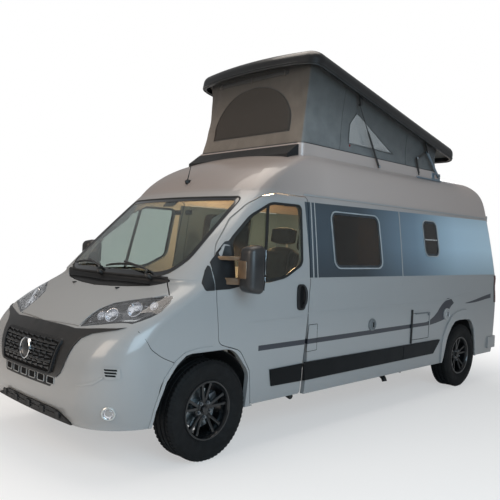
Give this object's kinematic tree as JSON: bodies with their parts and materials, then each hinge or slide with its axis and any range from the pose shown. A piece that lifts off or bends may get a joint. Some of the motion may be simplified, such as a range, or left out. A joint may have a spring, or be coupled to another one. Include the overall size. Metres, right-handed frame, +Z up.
{
  "type": "camper van",
  "caption": "Long panel-van camper with an open pop-up roof, hinged doors and bonnet, steered front wheels and a furnished living space.",
  "frame": {"origin": "on the ground at the centre of the overall length and width", "axes": "+X forward, +Y to the vehicle's left, +Z up"},
  "size_m": [5.993, 2.5, 3.4549],
  "materials": {
    "body_paint": "satin",
    "black_plastic": "textured",
    "gloss_black": "gloss",
    "lamp_plastic": "clear",
    "lamp_red": "gloss",
    "glass": "tinted",
    "tyre": "matt",
    "wheel_black": "gloss black lacquer",
    "steel": "black chassis paint",
    "iron": "rough",
    "dash_plastic": "grained",
    "seat_fabric": "woven",
    "wood": "light veneer",
    "tent_fabric": "woven",
    "arm_metal": "anodised",
    "floor_board": "grey laminate"
  },
  "bodies": {
    "body": {"bench_and_bed": "seat_fabric", "bumper_front": "body_paint", "bumper_rear": "body_paint", "cab_seats": "seat_fabric", "chassis": "steel", "dashboard": "dash_plastic", "engine": "iron", "fender_left": "body_paint", "fender_right": "body_paint", "floor": "floor_board", "front_subframe": "steel", "furniture": "wood", "grille": "black_plastic", "headlamps": "lamp_plastic", "popup_frame": "body_paint", "rear_axle": "steel", "roof_panel": "body_paint", "roof_wedge": "black_plastic", "scuttle": "black_plastic", "side_left": "body_paint", "side_right": "body_paint", "side_skirts": "black_plastic", "side_windows": "glass", "sliding_door": "body_paint", "tail_lamps": "lamp_red", "tent": "tent_fabric", "wheel_liners": "black_plastic", "windscreen": "glass"},
    "bonnet": {"bonnet": "body_paint"},
    "door_left": {"door_left": "body_paint", "door_glass_left": "glass", "mirror_left": "black_plastic"},
    "door_right": {"door_right": "body_paint", "door_glass_right": "glass", "mirror_right": "black_plastic"},
    "rear_door_left": {"rear_door_left": "body_paint", "rear_glass_left": "glass"},
    "rear_door_right": {"rear_door_right": "body_paint", "rear_glass_right": "glass"},
    "knuckle_left": {"knuckle_left": "iron"},
    "knuckle_right": {"knuckle_right": "iron"},
    "wheel_front_left": {"tyre_front_left": "tyre", "rim_front_left": "wheel_black"},
    "wheel_front_right": {"tyre_front_right": "tyre", "rim_front_right": "wheel_black"},
    "wheel_rear_left": {"tyre_rear_left": "tyre", "rim_rear_left": "wheel_black"},
    "wheel_rear_right": {"tyre_rear_right": "tyre", "rim_rear_right": "wheel_black"},
    "steering_wheel": {"steering_wheel": "dash_plastic"},
    "lift_arms": {"lift_arms": "arm_metal"},
    "front_arms": {"front_arms": "arm_metal"},
    "link_bars": {"link_bars": "arm_metal"},
    "pop_roof": {"pop_roof": "gloss_black"},
    "strut_barrels": {"strut_barrels": "steel"},
    "strut_rods": {"strut_rods": "arm_metal"}
  },
  "joints": [
    {"name": "bonnet_hinge", "type": "hinge", "parent": "body", "child": "bonnet", "pos_m": [2.264, 0, 1.372], "axis": [0, -1, 0], "range_deg": [0, 55]},
    {"name": "door_left_hinge", "type": "hinge", "parent": "body", "child": "door_left", "pos_m": [2.041, 1.022, 1], "axis": [0, 0, -1], "range_deg": [0, 65]},
    {"name": "door_right_hinge", "type": "hinge", "parent": "body", "child": "door_right", "pos_m": [2.041, -1.022, 1], "axis": [0, 0, 1], "range_deg": [0, 65]},
    {"name": "rear_door_left_hinge", "type": "hinge", "parent": "body", "child": "rear_door_left", "pos_m": [-2.946, 0.806, 1.4], "axis": [0, 0, -1], "range_deg": [0, 180]},
    {"name": "rear_door_right_hinge", "type": "hinge", "parent": "body", "child": "rear_door_right", "pos_m": [-2.946, -0.806, 1.4], "axis": [0, 0, 1], "range_deg": [0, 180]},
    {"name": "steer_left", "type": "hinge", "parent": "body", "child": "knuckle_left", "pos_m": [2.051, 0.85, 0.372], "axis": [0, 0, 1], "range_deg": [-35, 35]},
    {"name": "steer_right", "type": "hinge", "parent": "body", "child": "knuckle_right", "pos_m": [2.051, -0.85, 0.372], "axis": [0, 0, 1], "range_deg": [-35, 35]},
    {"name": "wheel_front_left_spin", "type": "hinge", "parent": "knuckle_left", "child": "wheel_front_left", "pos_m": [2.051, 0.905, 0.372], "axis": [0, 1, 0], "continuous": true},
    {"name": "wheel_front_right_spin", "type": "hinge", "parent": "knuckle_right", "child": "wheel_front_right", "pos_m": [2.051, -0.905, 0.372], "axis": [0, 1, 0], "continuous": true},
    {"name": "wheel_rear_left_spin", "type": "hinge", "parent": "body", "child": "wheel_rear_left", "pos_m": [-1.984, 0.895, 0.372], "axis": [0, 1, 0], "continuous": true},
    {"name": "wheel_rear_right_spin", "type": "hinge", "parent": "body", "child": "wheel_rear_right", "pos_m": [-1.984, -0.895, 0.372], "axis": [0, 1, 0], "continuous": true},
    {"name": "steering_wheel_turn", "type": "hinge", "parent": "body", "child": "steering_wheel", "pos_m": [1.439, 0.48, 1.215], "axis": [-0.5299, 0, 0.848], "range_deg": [-540, 540]},
    {"name": "roof_arms_swing", "type": "hinge", "parent": "body", "child": "lift_arms", "pos_m": [-1.701, 0, 2.513], "axis": [0, 1, 0], "range_deg": [0, 44.4]},
    {"name": "roof_tilt", "type": "hinge", "parent": "lift_arms", "child": "pop_roof", "pos_m": [-1.417, 0, 2.774], "axis": [0, 1, 0], "range_deg": [-32.7, 0], "deforming": ["tent"]},
    {"name": "front_arms_swing", "type": "hinge", "parent": "body", "child": "front_arms", "pos_m": [-1.286, 0, 2.506], "axis": [0, 1, 0], "range_deg": [0, 64.5]},
    {"name": "link_bars_swing", "type": "hinge", "parent": "lift_arms", "child": "link_bars", "pos_m": [-1.417, 0, 2.774], "axis": [0, 1, 0], "range_deg": [-72.9, 0]},
    {"name": "strut_swing", "type": "hinge", "parent": "body", "child": "strut_barrels", "pos_m": [-0.431, 0, 2.487], "axis": [0, 1, 0], "range_deg": [0, 53.85]},
    {"name": "strut_stroke", "type": "slide", "parent": "strut_barrels", "child": "strut_rods", "axis": [0.5524, 0, 0.8336], "range_m": [-0.17879, 0]}
  ],
  "couplings": [
    {"joint": "steer_right", "follows": "steer_left", "ratio": 1},
    {"joint": "steering_wheel_turn", "follows": "steer_left", "ratio": 15.429},
    {"joint": "roof_tilt", "follows": "roof_arms_swing", "ratio": -0.73649},
    {"joint": "front_arms_swing", "follows": "roof_arms_swing", "ratio": 1.4527},
    {"joint": "link_bars_swing", "follows": "roof_arms_swing", "ratio": -1.6419},
    {"joint": "strut_swing", "follows": "roof_arms_swing", "ratio": 1.2129},
    {"joint": "strut_stroke", "follows": "roof_arms_swing", "m_per_rad": -0.23072}
  ]
}
